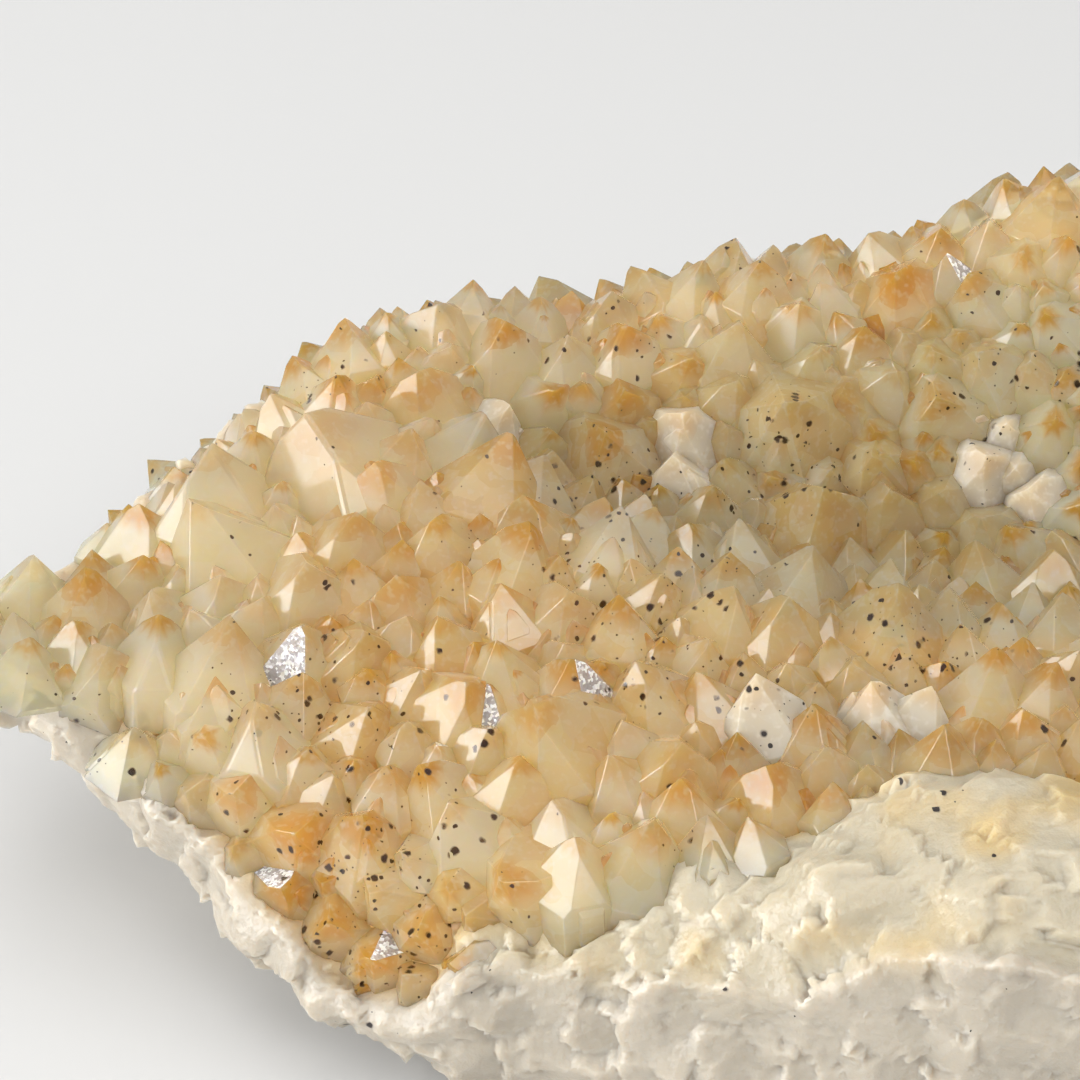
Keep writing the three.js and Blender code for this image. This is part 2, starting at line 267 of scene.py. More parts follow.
# a closed bmesh of the solid behind the planes, each face holding its plane's number
def convexSolid(normals, offsets):
    same = 0.02               # corners nearer than this are one
    corners, planesOf = [], []
    for spot, trio in zip(*meetingPoints(normals, offsets)):
        near = next((n for n, c in enumerate(corners) if np.linalg.norm(c - spot) < same), None)
        if near is None:
            corners.append(spot)
            planesOf.append(set(trio))
        else:
            planesOf[near].update(trio)
    bm = bmesh.new()
    verts = [bm.verts.new(c) for c in corners]
    layer = bm.faces.layers.int.new("plane")
    for p, normal in enumerate(normals):
        ring = [n for n, planes in enumerate(planesOf) if p in planes]
        if len(ring) < 3:
            continue
        middle = np.mean([corners[n] for n in ring], axis=0)
        u = corners[ring[0]] - middle
        u = u - normal * (u @ normal)
        v = np.cross(normal, u)
        ring.sort(key=lambda n: math.atan2((corners[n] - middle) @ v, (corners[n] - middle) @ u))
        face = bm.faces.new([verts[n] for n in ring])
        face[layer] = p
    return bm


crystals = []                 # one dictionary a point, in the order of the "crystal" face values


def addCrystal(foot, axis, width, rise, seed, kind, root):
    lean = [points["lean"] * 2 * (scatter(seed, k, 7) - 0.5) for k in (1, 2)]
    along = (axis + Vector((lean[0], lean[1], 0))).normalized()
    turn = Vector((0, 0, 1)).rotation_difference(along).to_matrix()
    turn = turn @ Matrix.Rotation(scatter(seed, 3, 7) * math.pi, 3, "Z")
    foot = np.array(foot, float)
    crystals.append({
        "kind": kind, "seed": seed, "family": seed, "width": width, "length": rise + root,
        "foot": foot, "tip": foot + rise * np.array(along), "turn": np.array(turn),
    })


def hasRoom(spot, width, room):
    return all(np.linalg.norm(spot - c["foot"]) > room * (width + c["width"]) / 2
               for c in crystals)


# a point on the crystal side, as steep as the surface there
def standing(x, y, width, seed, kind):
    angle, reach = polar(x, y)
    edge = ramp(reach / rimAt(angle)[0], *points["edge"])
    normal = topNormal(x, y)
    axis = (normal + Vector(points["draw"]) * normal.z ** points["drawPower"]).normalized()
    top = topHeight(x, y)
    thickness = top - underHeight(x, y)
    width = min(width, points["widest"] * thickness)
    root = min(points["root"], thickness / points["rootShare"])
    rise = width * mix(*points["height"], scatter(seed, 4, 7)) * mix(1, points["edgeHeight"], edge)
    addCrystal((x, y, top), axis, width, rise, seed, kind, root)


def insideTop(x, y):
    angle, reach = polar(x, y)
    return reach < points["inset"] * rimAt(angle)[0] and bareness(x, y) < 0.5


def plantLarge():
    for n, (x, y, width) in enumerate(largePoints):
        standing(x, y, width, 1000 + n, "large")


# tries places on a jittered grid and plants a point wherever there is room between the others
def plantField(kind, luck):
    pitch, least, most, rare, room = points[kind]
    rowPitch = math.sqrt(0.75)
    reach = int(points["reach"][0] / pitch)
    for j in range(-reach, reach):
        for i in range(-reach, int(points["reach"][1] * reach)):
            x = (i + (j & 1) / 2 + points["jitter"] * (scatter(i, j, luck) - 0.5)) * pitch
            y = (j * rowPitch + points["jitter"] * (scatter(i, j, luck + 1) - 0.5)) * pitch
            if not insideTop(x, y):
                continue
            width = mix(least, most, scatter(i, j, luck + 2) ** rare)
            if hasRoom(np.array([x, y, topHeight(x, y)]), width, room):
                standing(x, y, width, luck * 1000 + i * 61 + j, kind)


def plantSkirt():
    angle, end = points["skirt"]
    step, k = points["skirtStep"], 0
    while angle < end:
        radius, low, high = rimAt(angle)
        for row in range(1 + int((high - low) / 2 // points["skirtDrop"])):
            width = mix(*points["skirtWidth"], scatter(k, row, 12))
            turn = angle + (scatter(k, row, 13) - 0.5 + (row % 2) / 2) * step / radius
            out = Vector((math.cos(turn), math.sin(turn), 0))
            hereRadius, hereLow, hereHigh = rimAt(turn)
            away = hereRadius + stone["bulge"] - points["skirtSunk"] * width
            z = (hereHigh - points["skirtTop"] - row * points["skirtDrop"]
                 + points["skirtStray"] * (scatter(k, row, 14) - 0.5))
            if z - hereLow < points["skirtClear"] * width:
                continue
            foot = Vector((*stone["centre"], z)) + out * away
            axis = (out + Vector((0, 0, points["skirtClimb"][min(row, 1)]))).normalized()
            addCrystal(foot, axis, width, width * points["skirtHeight"], 500 + k * 7 + row,
                       "skirt", points["root"])
        angle += step / radius
        k += 1


# fills the wall under the rim between the skirt's points
def plantWall():
    step, least, most, rare, room = points["wall"]
    jitter, depth = points["jitter"], points["wallDepth"]
    angle, end = points["skirt"]
    k = 0
    while angle < end:
        for row in range(1 + int(depth / step)):
            aside = (jitter * (scatter(k, row, 43) - 0.5) + (row % 2) / 2) * step
            turn = angle + aside / rimAt(angle)[0]
            down = max(0, (row + jitter * (scatter(k, row, 44) - 0.5)) * step)
            radius, low, high = rimAt(turn)
            out = Vector((math.cos(turn), math.sin(turn), 0))
            away = radius + stone["bulge"] * math.sin(math.pi * down / (high - low))
            foot = Vector((*stone["centre"], high - down)) + out * away
            width = mix(least, most, scatter(k, row, 45) ** rare)
            if hasRoom(np.array(foot), width, room):
                climb = mix(*points["wallClimb"], down / depth)
                axis = (out + Vector((0, 0, climb))).normalized()
                rise = width * mix(*points["height"], 0.5)
                addCrystal(foot, axis, width, rise, 6000 + k * 11 + row, "wall", points["root"])
        angle += step / rimAt(angle)[0]
        k += 1


# lower points grown parallel to a larger one, which step its end faces
def plantLedges():
    steep = math.tan(math.radians(points["pyramid"]))
    for parent in [c for c in crystals if c["width"] > points["ledgeFrom"] and c["kind"] != "wall"]:
        seed, width = parent["seed"], parent["width"]
        for k in range(points["ledgeTries"]):
            if scatter(seed, k, 51) > points["ledgeShare"]:
                continue
            stray = points["ledgeTurn"] * (scatter(seed, k, 53) - 0.5)
            around = math.radians(60 * int(6 * scatter(seed, k, 52)) + stray)
            aside = width * mix(*points["ledgeAside"], scatter(seed, k, 54))
            out = mix(*points["ledgeStep"], scatter(seed, k, 55)) * points["ledgeSlant"]
            down = aside * steep - out
            if down < points["ledgeLeast"]:
                continue
            offset = np.array((aside * math.cos(around), aside * math.sin(around), -down))
            crystals.append({
                **parent, "kind": "ledge", "seed": seed + 0.37 * (k + 1),
                "width": width * mix(*points["ledgeWidth"], scatter(seed, k, 56)),
                "length": max(points["ledgeRoot"], parent["length"] - down),
                "tip": parent["tip"] + parent["turn"] @ offset,
            })


plantLarge()
plantSkirt()
plantField("field", 4)
solidCount = len(crystals)
plantField("between", 24)
plantField("small", 34)
plantWall()
plantLedges()
print("points planted:", solidCount, "as in the solid,", len(crystals), "in all")

# kinds of points, and how honey-coloured they are
tones = {
    "cloudiness": {"clear": 0.1, "cloudy": 0.5, "milky": 1.0, "frosted": 0.8},
    # where in the plan some kinds are: x, y, reach
    "places": {
        "milky": [(-26.3, 5.5, 6.5), (-19.1, 7.8, 6), (-9.1, 8.2, 4.5), (-31.2, -12.6, 5.5),
                  (-6.5, 19.8, 5.5), (0, 19.6, 5), (11.3, 22.1, 4), (24.5, 24, 4)],
        "frosted": [(16.8, -21.9, 2.6), (29.7, -22, 3.4), (13.4, 11.5, 2), (-5.5, 12.3, 2.2),
                    (40.8, 8.5, 3.5), (45.6, 6.5, 3.5)],
    },
    "milkyElsewhere": 0.05,   # share of the other points
    "cloudSize": 9, "cloudScatter": 0.5, "clearAbove": -0.05,
    # honey colour: its mean, more for each millimetre of depth, less over the thin end
    "honey": 0.52, "honeyDepth": 0.035, "thinEnd": (-12, 20), "thinEndLess": 0.6,
    "driftSize": 14, "drift": 0.5, "honeyScatter": 0.24, "milkyLess": 0.5,
}


def kindOf(crystal):
    x, y = crystal["foot"][:2]
    for kind, places in tones["places"].items():
        if any(math.hypot(x - a, y - b) < reach for a, b, reach in places):
            return kind
    if scatter(crystal["family"], 12, 9) < tones["milkyElsewhere"]:
        return "milky"
    size = tones["cloudSize"]
    cloud = noise.noise(Vector((x / size, y / size, 8.1)))
    cloud += tones["cloudScatter"] * (scatter(crystal["family"], 8, 9) - 0.5)
    return "clear" if cloud > tones["clearAbove"] else "cloudy"


# how honey-coloured a point is, from 0 to 1: least at the thin end, most in the hollows
def warmth(crystal):
    x, y = crystal["foot"][:2]
    depth = stone["topZ"] + stone["topSlopeY"] * y - topHeight(x, y)
    start, width = tones["thinEnd"]
    size = tones["driftSize"]
    share = tones["honey"] + tones["honeyDepth"] * depth
    share = share - tones["thinEndLess"] * smooth((start - x) / width)
    share = share + tones["drift"] * noise.noise(Vector((x / size, y / size, 3.7)))
    share += (tones["honeyScatter"] * (scatter(crystal["family"], 11, 9) - 0.5)
              - tones["milkyLess"] * (kindOf(crystal) == "milky"))
    return min(1, max(0, share))


def crystalMesh(number, crystal):
    bm = convexSolid(*pointPlanes(crystal["width"], crystal["length"], crystal["seed"]))
    layer = bm.faces.layers.int.new("crystal")
    for face in bm.faces:
        face[layer] = number
    worn = kindOf(crystal) == "milky"
    bmesh.ops.bevel(bm, geom=bm.edges[:], offset=points["bevelWorn" if worn else "bevel"],
                    segments=2 if worn else 1, affect="EDGES", profile=0.5, clamp_overlap=True)
    place = Matrix(crystal["turn"].tolist()).to_4x4()
    place.translation = Vector(crystal["tip"])
    bm.transform(place)
    mesh = bpy.data.meshes.new("point")
    bm.to_mesh(mesh)
    bm.free()
    return mesh


# puts the result of one modifier in place of the piece's mesh
def bake(piece, name, kind, **settings):
    modifier = piece.modifiers.new(name, kind)
    for key, value in settings.items():
        setattr(modifier, key, value)
    evaluated = piece.evaluated_get(bpy.context.evaluated_depsgraph_get())
    made, old = bpy.data.meshes.new_from_object(evaluated), piece.data
    piece.modifiers.clear()
    piece.data = made
    bpy.data.meshes.remove(old)
    made.name = piece.name


# joins all the points in one closed solid, which keeps the face values "crystal" and "plane"
def growTogether(name):
    gathered = bpy.data.collections.new("points")
    meshes = [crystalMesh(n, c) for n, c in enumerate(crystals)]
    for mesh in meshes[1:]:
        gathered.objects.link(bpy.data.objects.new("point", mesh))
    scene.collection.children.link(gathered)
    piece = bpy.data.objects.new(name, meshes[0])
    scene.collection.objects.link(piece)
    bake(piece, "union", "BOOLEAN", operation="UNION", solver="MANIFOLD",
         operand_type="COLLECTION", collection=gathered)
    for single in list(gathered.objects):
        bpy.data.objects.remove(single)
    bpy.data.collections.remove(gathered)
    for mesh in meshes[1:]:
        bpy.data.meshes.remove(mesh)
    return piece


# one number, or width numbers, for each member of a mesh's list
def readValues(members, name, kind=float, width=1):
    values = np.zeros(len(members) * width, kind)
    members.foreach_get(name, values)
    return values if width == 1 else values.reshape(-1, width)


def addFloats(mesh, name, domain, values):
    attribute = mesh.attributes.new(name, "FLOAT", domain)
    attribute.data.foreach_set("value", np.asarray(values, np.float32).ravel())


# each corner of a face gets its place in its own crystal: origin at the tip, z along the crystal
def addCrystalPlaces(mesh, faceCrystal, facePlane):
    cornerCrystal = np.repeat(faceCrystal, readValues(mesh.polygons, "loop_total", np.int32))
    corners = readValues(mesh.vertices, "co", width=3)[
        readValues(mesh.loops, "vertex_index", np.int32)]
    tips, turns, widths, seeds, families = (
        np.array([c[key] for c in crystals], float)
        for key in ("tip", "turn", "width", "seed", "family"))
    offset = corners - tips[cornerCrystal]
    local = np.einsum("ni,nij->nj", offset, turns[cornerCrystal])
    place = mesh.attributes.new("crystalPlace", "FLOAT_VECTOR", "CORNER")
    place.data.foreach_set("vector", (local * mm).astype(np.float32).ravel())
    addFloats(mesh, "tipDepth", "CORNER", -local[:, 2] / widths[cornerCrystal])
    addFloats(mesh, "faceRandom", "FACE", scatter(seeds[faceCrystal], facePlane, 8))
    addFloats(mesh, "crystalTint", "FACE", scatter(families, 6, 9)[faceCrystal])
    cloudiness = np.array([tones["cloudiness"][kindOf(c)] for c in crystals])
    cloudiness = cloudiness * (0.7 + 0.3 * scatter(families, 13, 9))
    addFloats(mesh, "cloudiness", "FACE", cloudiness[faceCrystal])
    addFloats(mesh, "warmth", "FACE", np.array([warmth(c) for c in crystals])[faceCrystal])


# marked places of the plan
marks = {
    # faces with a finely grained, glittering skin, whose glints are partly painted into their
    # colour: x, y
    "glitter": [(-20.5, -16.4), (7.1, -21.7), (-9.2, -23.7), (-2.9, -23), (-21.7, -31.6),
                (-14, -36.1), (54, 4), (66, -18), (40, 24), (76, 2)],
    "glitterTurn": (0.08, -0.41, 0.91),      # they are turned this way
    "turnWorth": 14,                         # and each unlike turn is worth this distance
    "small": 3, "smallWorth": 4,             # as is an area under this, in square millimetres
    # flocks of dark grains: x, y, spread
    "specks": [(5.2, -8.9, 4), (13, -8.2, 3), (8.4, -19.7, 3), (-15.7, -31.8, 3.5),
               (-10.7, -34.8, 4), (-20, -20, 4), (34, -14, 4), (24, 8, 3), (60, -6, 6),
               (78, -14, 5), (64, 18, 5), (48, -24, 4)],
    "speckDrift": 9, "speckShare": 1.6,      # size and amount of the flocks elsewhere
}


# the best turned face near each marked place
def glitterFaces(mesh, faceCrystal, facePlane):
    centers = readValues(mesh.polygons, "center", width=3)
    turned = readValues(mesh.polygons, "normal", width=3) @ np.array(marks["glitterTurn"])
    small = readValues(mesh.polygons, "area") < marks["small"]
    etched = np.zeros(len(mesh.polygons), bool)
    for x, y in marks["glitter"]:
        away = (np.hypot(centers[:, 0] - x, centers[:, 1] - y)
                + marks["turnWorth"] * (1 - turned) + marks["smallWorth"] * small)
        n = int(np.argmin(away))
        etched |= (faceCrystal == faceCrystal[n]) & (facePlane == facePlane[n])
    return etched


def markSpecks(mesh, co):
    crowd = sum(np.exp(-((co[:, 0] - x) ** 2 + (co[:, 1] - y) ** 2) / (2 * spread ** 2))
                for x, y, spread in marks["specks"])
    drift = np.array([noise.noise(Vector(spot / marks["speckDrift"])) for spot in co])
    crowd = crowd + smooth(drift * marks["speckShare"])
    addFloats(mesh, "speckled", "POINT", np.minimum(crowd, 1))


# from millimetres of the plan to metres of the frame
def toFrame(mesh):
    x, y = stone["middle"]
    mesh.transform(Matrix.Diagonal((mm, mm, mm, 1)) @ Matrix.Translation((-x, -y, 0)))


crust = growTogether("citrine_points")
faceCrystal = readValues(crust.data.attributes["crystal"].data, "value", np.int32)
facePlane = readValues(crust.data.attributes["plane"].data, "value", np.int32)
addCrystalPlaces(crust.data, faceCrystal, facePlane)
glitter = glitterFaces(crust.data, faceCrystal, facePlane)
markSpecks(crust.data, readValues(crust.data.vertices, "co", width=3))
toFrame(crust.data)
print("points grown together:", len(crust.data.polygons), "faces")

# the milky quartz under the points
milky = {
    "around": 240,            # faces round the slab, and rings of them
    "topRings": 24, "wallRings": 12, "underRings": 12,
    "voxel": 0.66,
    "sink": 2.0,              # how far its top lies under the solid's, where points cover it
    "sinkEdge": (1.02, 0.06),
    "calmUnder": 0.25,        # share of the roughness left there
    "underEdge": 0.06, "facingUp": (0.2, 0.4),
    "footEdge": 3,            # height over the floor where the skin gets calm
    "chunk": 3.4, "chunkTilt": 0.68,
    "crumb": 1.3, "crumbHeight": 0.32, "crumbMiddle": 0.3,
    "lumpCalm": 0.4, "lumpEdge": (3, 5),     # the big bare lump is smoother
    "crustDepth": 4.5, "crustEdge": (1.02, 0.07),
}


# the slab's rings from the middle of the top, over the rim, down the wall and under
def slabRings():
    angle = np.linspace(0, 2 * np.pi, milky["around"], endpoint=False)
    radius, low, high = rimAt(angle)
    cx, cy = stone["centre"]
    c, s = np.cos(angle), np.sin(angle)
    end, width = milky["sinkEdge"]
    rings = []
    for n in range(1, milky["topRings"] + 1):
        share = n / milky["topRings"]
        x, y = cx + radius * share * c, cy + radius * share * s
        covered = smooth((end - share) / width) * (1 - bareness(x, y))
        rings.append((x, y, topHeight(x, y) - milky["sink"] * covered))
    for n in range(1, milky["wallRings"]):
        down = n / milky["wallRings"]
        out = radius + stone["bulge"] * math.sin(math.pi * down)
        rings.append((cx + out * c, cy + out * s, mix(high, low, down)))
    for n in range(milky["underRings"], 0, -1):
        share = n / milky["underRings"]
        rings.append((cx + radius * share * c, cy + radius * share * s, low * underRise(share)))
    return np.array([np.stack(ring, axis=1) for ring in rings])


def slabSolid(name):
    rings = slabRings()
    count, around = rings.shape[:2]
    cx, cy = stone["centre"]
    ends = np.array([[cx, cy, topHeight(cx, cy) - milky["sink"]], [cx, cy, 0]])
    co = np.concatenate([rings.reshape(-1, 3), ends])
    topEnd, underEnd = len(co) - 2, len(co) - 1
    faces = []
    for r in range(count - 1):
        for k in range(around):
            a, b = r * around + k, r * around + (k + 1) % around
            faces.append((a, a + around, b + around, b))
    last = (count - 1) * around
    for k in range(around):
        following = (k + 1) % around
        faces.append((topEnd, k, following))
        faces.append((underEnd, last + following, last + k))
    mesh = bpy.data.meshes.new(name)
    mesh.from_pydata(co.tolist(), [], faces)
    mesh.update()
    piece = bpy.data.objects.new(name, mesh)
    scene.collection.objects.link(piece)
    bake(piece, "even", "REMESH", mode="VOXEL", voxel_size=milky["voxel"])
    return piece


# how far a place is pushed out: tilted chunks, and crumbs like broken sugar
def brokenSkin(spot):
    chunk, crumb = milky["chunk"], milky["crumb"]
    seed = noise.voronoi(spot / chunk)[1][0]
    tilt = Vector(noise.cell_vector(seed * 7.3)) - Vector((0.5, 0.5, 0.5))
    near = noise.voronoi(spot / crumb)[0]
    return ((spot / chunk - seed).dot(tilt) * chunk * milky["chunkTilt"]
            + milky["crumbHeight"] * (near[1] - near[0] - milky["crumbMiddle"]))


# big waves as in the solid, then the broken skin, all calmer under the points
def roughen(mesh):
    co = readValues(mesh.vertices, "co", width=3)
    out = readValues(mesh.vertices, "normal", width=3)
    x, y, z = co[:, 0].copy(), co[:, 1].copy(), co[:, 2].copy()
    angle, reach = polar(x, y)
    under = smooth((1 - reach / rimAt(angle)[0]) / milky["underEdge"])
    under = under * ramp(out[:, 2], *milky["facingUp"]) * (1 - bareness(x, y))
    free = (smooth(z / milky["footEdge"]) * mix(1, milky["calmUnder"], under))[:, None]
    g = stone["waveSize"]
    wave = np.stack([lumps(x / g, y / g, z / g), lumps(x / g + 40, y / g, z / g),
                     lumps(x / g, y / g + 40, z / g)], axis=1)
    co += stone["wave"] * wave * free
    push = np.array([brokenSkin(Vector(spot)) for spot in co])
    bx, by, radius = stone["bare"][0]
    edge, width = milky["lumpEdge"]
    inLump = smooth((radius + edge - np.hypot(co[:, 0] - bx, co[:, 1] - by)) / width)
    co += out * (push * (1 - milky["lumpCalm"] * inLump))[:, None] * free
    co[:, 2] = np.maximum(co[:, 2], 0)
    mesh.vertices.foreach_set("co", co.ravel())
    mesh.update()
    return co


# where its tones change: "nearCrust" is 1 on the crystal side and falls to 0 down the wall
def markTones(mesh, co):
    x, y, z = co.T
    angle, reach = polar(x, y)
    radius, _, high = rimAt(angle)
    depth, (end, width) = milky["crustDepth"], milky["crustEdge"]
    nearCrust = smooth((z - high + depth) / depth) * smooth((end - reach / radius) / width)
    addFloats(mesh, "nearCrust", "POINT", nearCrust)
    addFloats(mesh, "bare", "POINT", bareness(x, y))
    markSpecks(mesh, co)


rock = slabSolid("milky_quartz")
markTones(rock.data, roughen(rock.data))
toFrame(rock.data)
rock.data.shade_smooth()
print("milky quartz:", len(rock.data.polygons), "faces")


# short ways to build materials; the keyword fromMin stands for the socket "From Min"
def setSocket(tree, socket, value):
    if isinstance(value, bpy.types.NodeSocket):
        tree.links.new(value, socket)
    elif socket.type == "RGBA":
        socket.default_value = (*value, 1)
    else:
        socket.default_value = value


def socketName(key):
    return "".join(" " + c if c.isupper() else c for c in key).title()


def addNode(tree, kind, settings=None, **values):
    node = tree.nodes.new("ShaderNode" + kind)
    for key, value in (settings or {}).items():
        setattr(node, key, value)
    for key, value in values.items():
        setSocket(tree, node.inputs[socketName(key)], value)
    return node


def newMaterial(name):
    material = bpy.data.materials.new(name)
    material.use_nodes = True
    tree = material.node_tree
    tree.nodes.clear()
    output = addNode(tree, "OutputMaterial")
    shader = addNode(tree, "BsdfPrincipled")
    tree.links.new(shader.outputs["BSDF"], output.inputs["Surface"])
    return material, tree, shader, output


def newGroup(name, inputs, outputs):
    group = bpy.data.node_groups.new(name, "ShaderNodeTree")
    for label, kind, value in inputs:
        socket = group.interface.new_socket(label, in_out="INPUT",
                                            socket_type="NodeSocket" + kind)
        socket.default_value = value
    for label, kind in outputs:
        group.interface.new_socket(label, in_out="OUTPUT", socket_type="NodeSocket" + kind)
    given = group.nodes.new("NodeGroupInput").outputs
    return group, given, group.nodes.new("NodeGroupOutput").inputs


def useGroup(tree, group, **values):
    return addNode(tree, "Group", {"node_tree": group}, **values).outputs


def compute(tree, operation, one, two=0.0):
    node = addNode(tree, "Math", {"operation": operation})
    setSocket(tree, node.inputs[0], one)
    setSocket(tree, node.inputs[1], two)
    return node.outputs["Value"]


# spreads the values from one range over another
def rescale(tree, value, **ends):
    return addNode(tree, "MapRange", value=value, **ends).outputs["Result"]


# the same with soft ends, from the first value of a pair to the second
def fade(tree, value, pair, **ends):
    settings = {"interpolation_type": "SMOOTHSTEP"}
    ends = {"fromMin": pair[0], "fromMax": pair[1], **ends}
    return addNode(tree, "MapRange", settings, value=value, **ends).outputs["Result"]


def blend(tree, share, one, two):
    node = addNode(tree, "Mix", {"data_type": "RGBA"}, factor=share)
    setSocket(tree, node.inputs[6], one)       # the colours A and B
    setSocket(tree, node.inputs[7], two)
    return node.outputs[2]


def channels(tree, colors):
    return addNode(tree, "SeparateColor", color=colors.outputs["Color"]).outputs


def meshValue(tree, name):
    return addNode(tree, "Attribute", {"attribute_name": name}).outputs["Fac"]


# dark mineral grains seen in the quartz; scales are to the metre, and sizes in cells
specks = {
    "cells": 1300,
    "wobble": 1500, "wobbleBy": (0.0004, -0.0004, 0.0005),
    "least": 0.12, "more": 0.36, "rareness": 6.0,    # radius of the dots
    "blotFrom": 0.93,         # dots wider than this share of them lie in a soft blot
    "edge": 0.04, "blotEdge": -0.16,
}


def makeSpecks():
    group, given, result = newGroup(
        "darkSpecks", [("Amount", "Float", 0.5)],
        [("Grain", "Float"), ("Blot", "Float"), ("Mottle", "Float")])
    place = addNode(group, "TexCoord").outputs["Object"]
    crowd = compute(group, "MULTIPLY", meshValue(group, "speckled"), given["Amount"])
    wobble = addNode(group, "TexNoise", vector=place, scale=specks["wobble"], detail=1)
    wobble = wobble.outputs["Fac"]
    shifted = addNode(group, "VectorMath", {"operation": "MULTIPLY_ADD"})
    for socket, value in zip(shifted.inputs, (wobble, specks["wobbleBy"], place)):
        setSocket(group, socket, value)
    cells = addNode(group, "TexVoronoi", vector=shifted.outputs["Vector"], scale=specks["cells"])
    luck = channels(group, cells)
    here = compute(group, "LESS_THAN", luck["Red"], crowd)
    wide = compute(group, "GREATER_THAN", luck["Green"], specks["blotFrom"])
    wider = compute(group, "POWER", luck["Green"], specks["rareness"])
    radius = compute(group, "MULTIPLY", wider, specks["more"])
    radius = compute(group, "ADD", radius, specks["least"])
    inside = compute(group, "SUBTRACT", radius, cells.outputs["Distance"])
    dot = rescale(group, inside, fromMin=0.0, fromMax=specks["edge"])
    halo = rescale(group, inside, fromMin=specks["blotEdge"], fromMax=specks["edge"])
    setSocket(group, result["Grain"], compute(group, "MULTIPLY", dot, here))
    blot = compute(group, "MULTIPLY", halo, here)
    setSocket(group, result["Blot"], compute(group, "MULTIPLY", blot, wide))
    setSocket(group, result["Mottle"], wobble)
    return group


# colour of a point; depths are in widths of the point, down from its tip
growth = {
    "tipReach": 0.28,
    "amber": (0.79, 0.375, 0.025), "honey": (0.91, 0.64, 0.23), "pale": (0.99, 0.88, 0.57),
    "veil": (0.99, 0.92, 0.76), "deep": (0.64, 0.4, 0.1),
    "reach": (0.35, 1.3),     # of the amber, least and most, in tip reaches
    "strength": (0.4, 1.0),   # of the amber, least and most
    "strengthFrom": (0.1, 0.85),             # chances that give the least and the most
    "patches": 330,           # to the metre
    "patchDepth": 0.09,       # how far the patches shift the amber's edge
    "ridgeDepth": 0.025,      # and how much further it comes down the edges
    "root": (0.3, 1.1), "rootHoney": 0.35,
    "deepFrom": (0.5, 0.9), "deepMost": 0.45,
    "cloudVeil": 0.7, "patchVeil": 0.6, "faceVeil": 0.4, "veilFrom": (0.35, 1.15),
    "cloudRough": 0.12,
}


# amber at the tip and along the upper edges, honey or pale below, with whitish veils
def makeGrowthColor():
    hues = [(key.capitalize(), "Color", (*growth[key], 1))
            for key in ("amber", "honey", "pale", "veil", "deep")]
    group, given, result = newGroup(
        "growthColor",
        [("Tip Reach", "Float", growth["tipReach"]), *hues,
         ("Veil Amount", "Float", 0.4), ("Polish", "Float", 0.05)],
        [("Color", "Color"), ("Roughness", "Float")])

    def times(one, two):
        return compute(group, "MULTIPLY", one, two)

    def plus(one, two):
        return compute(group, "ADD", one, two)

    luck = meshValue(group, "crystalTint")
    cloudy = meshValue(group, "cloudiness")
    local = addNode(group, "Attribute", {"attribute_name": "crystalPlace"}).outputs["Vector"]
    # straight-sided patches, as of cracks and faces seen through the point
    patches = addNode(group, "TexVoronoi", {"distance": "MANHATTAN"}, vector=local,
                      scale=growth["patches"])
    patch = channels(group, patches)
    uneven = times(compute(group, "SUBTRACT", patch["Green"], 0.5), growth["patchDepth"])
    apart = addNode(group, "SeparateXYZ", vector=local).outputs
    around = compute(group, "ARCTAN2", apart["Y"], apart["X"])
    sixfold = compute(group, "ABSOLUTE", compute(group, "SINE", times(around, 3.0)))
    ridge = times(compute(group, "POWER", sixfold, 6.0), growth["ridgeDepth"])
    depth = compute(group, "SUBTRACT", plus(meshValue(group, "tipDepth"), uneven), ridge)

    least, most = growth["reach"]
    chance = rescale(group, luck, fromMin=0, fromMax=1, toMin=least, toMax=most)
    tip = fade(group, depth, (0, times(chance, given["Tip Reach"])), toMin=1, toMax=0)
    least, most = growth["strength"]
    otherLuck = compute(group, "FRACT", times(luck, 7.3))
    strength = fade(group, otherLuck, growth["strengthFrom"], toMin=least, toMax=most)
    tipShare = times(tip, strength)

    root = times(fade(group, depth, growth["root"]), growth["rootHoney"])
    bodyShare = compute(group, "MINIMUM", plus(meshValue(group, "warmth"), root), 1.0)
    body = blend(group, bodyShare, given["Pale"], given["Honey"])
    deep = fade(group, patch["Blue"], growth["deepFrom"], toMax=growth["deepMost"])
    body = blend(group, times(deep, bodyShare), body, given["Deep"])

    mixed = plus(times(patch["Red"], growth["patchVeil"]),
                 times(meshValue(group, "faceRandom"), growth["faceVeil"]))
    mixed = plus(mixed, times(cloudy, growth["cloudVeil"]))
    veil = times(fade(group, mixed, growth["veilFrom"]), given["Veil Amount"])
    veiled = blend(group, veil, body, given["Veil"])
    setSocket(group, result["Color"], blend(group, tipShare, veiled, given["Amber"]))
    setSocket(group, result["Roughness"],
              plus(given["Polish"], times(cloudy, growth["cloudRough"])))
    return group


speckGroup = makeSpecks()
growthGroup = makeGrowthColor()

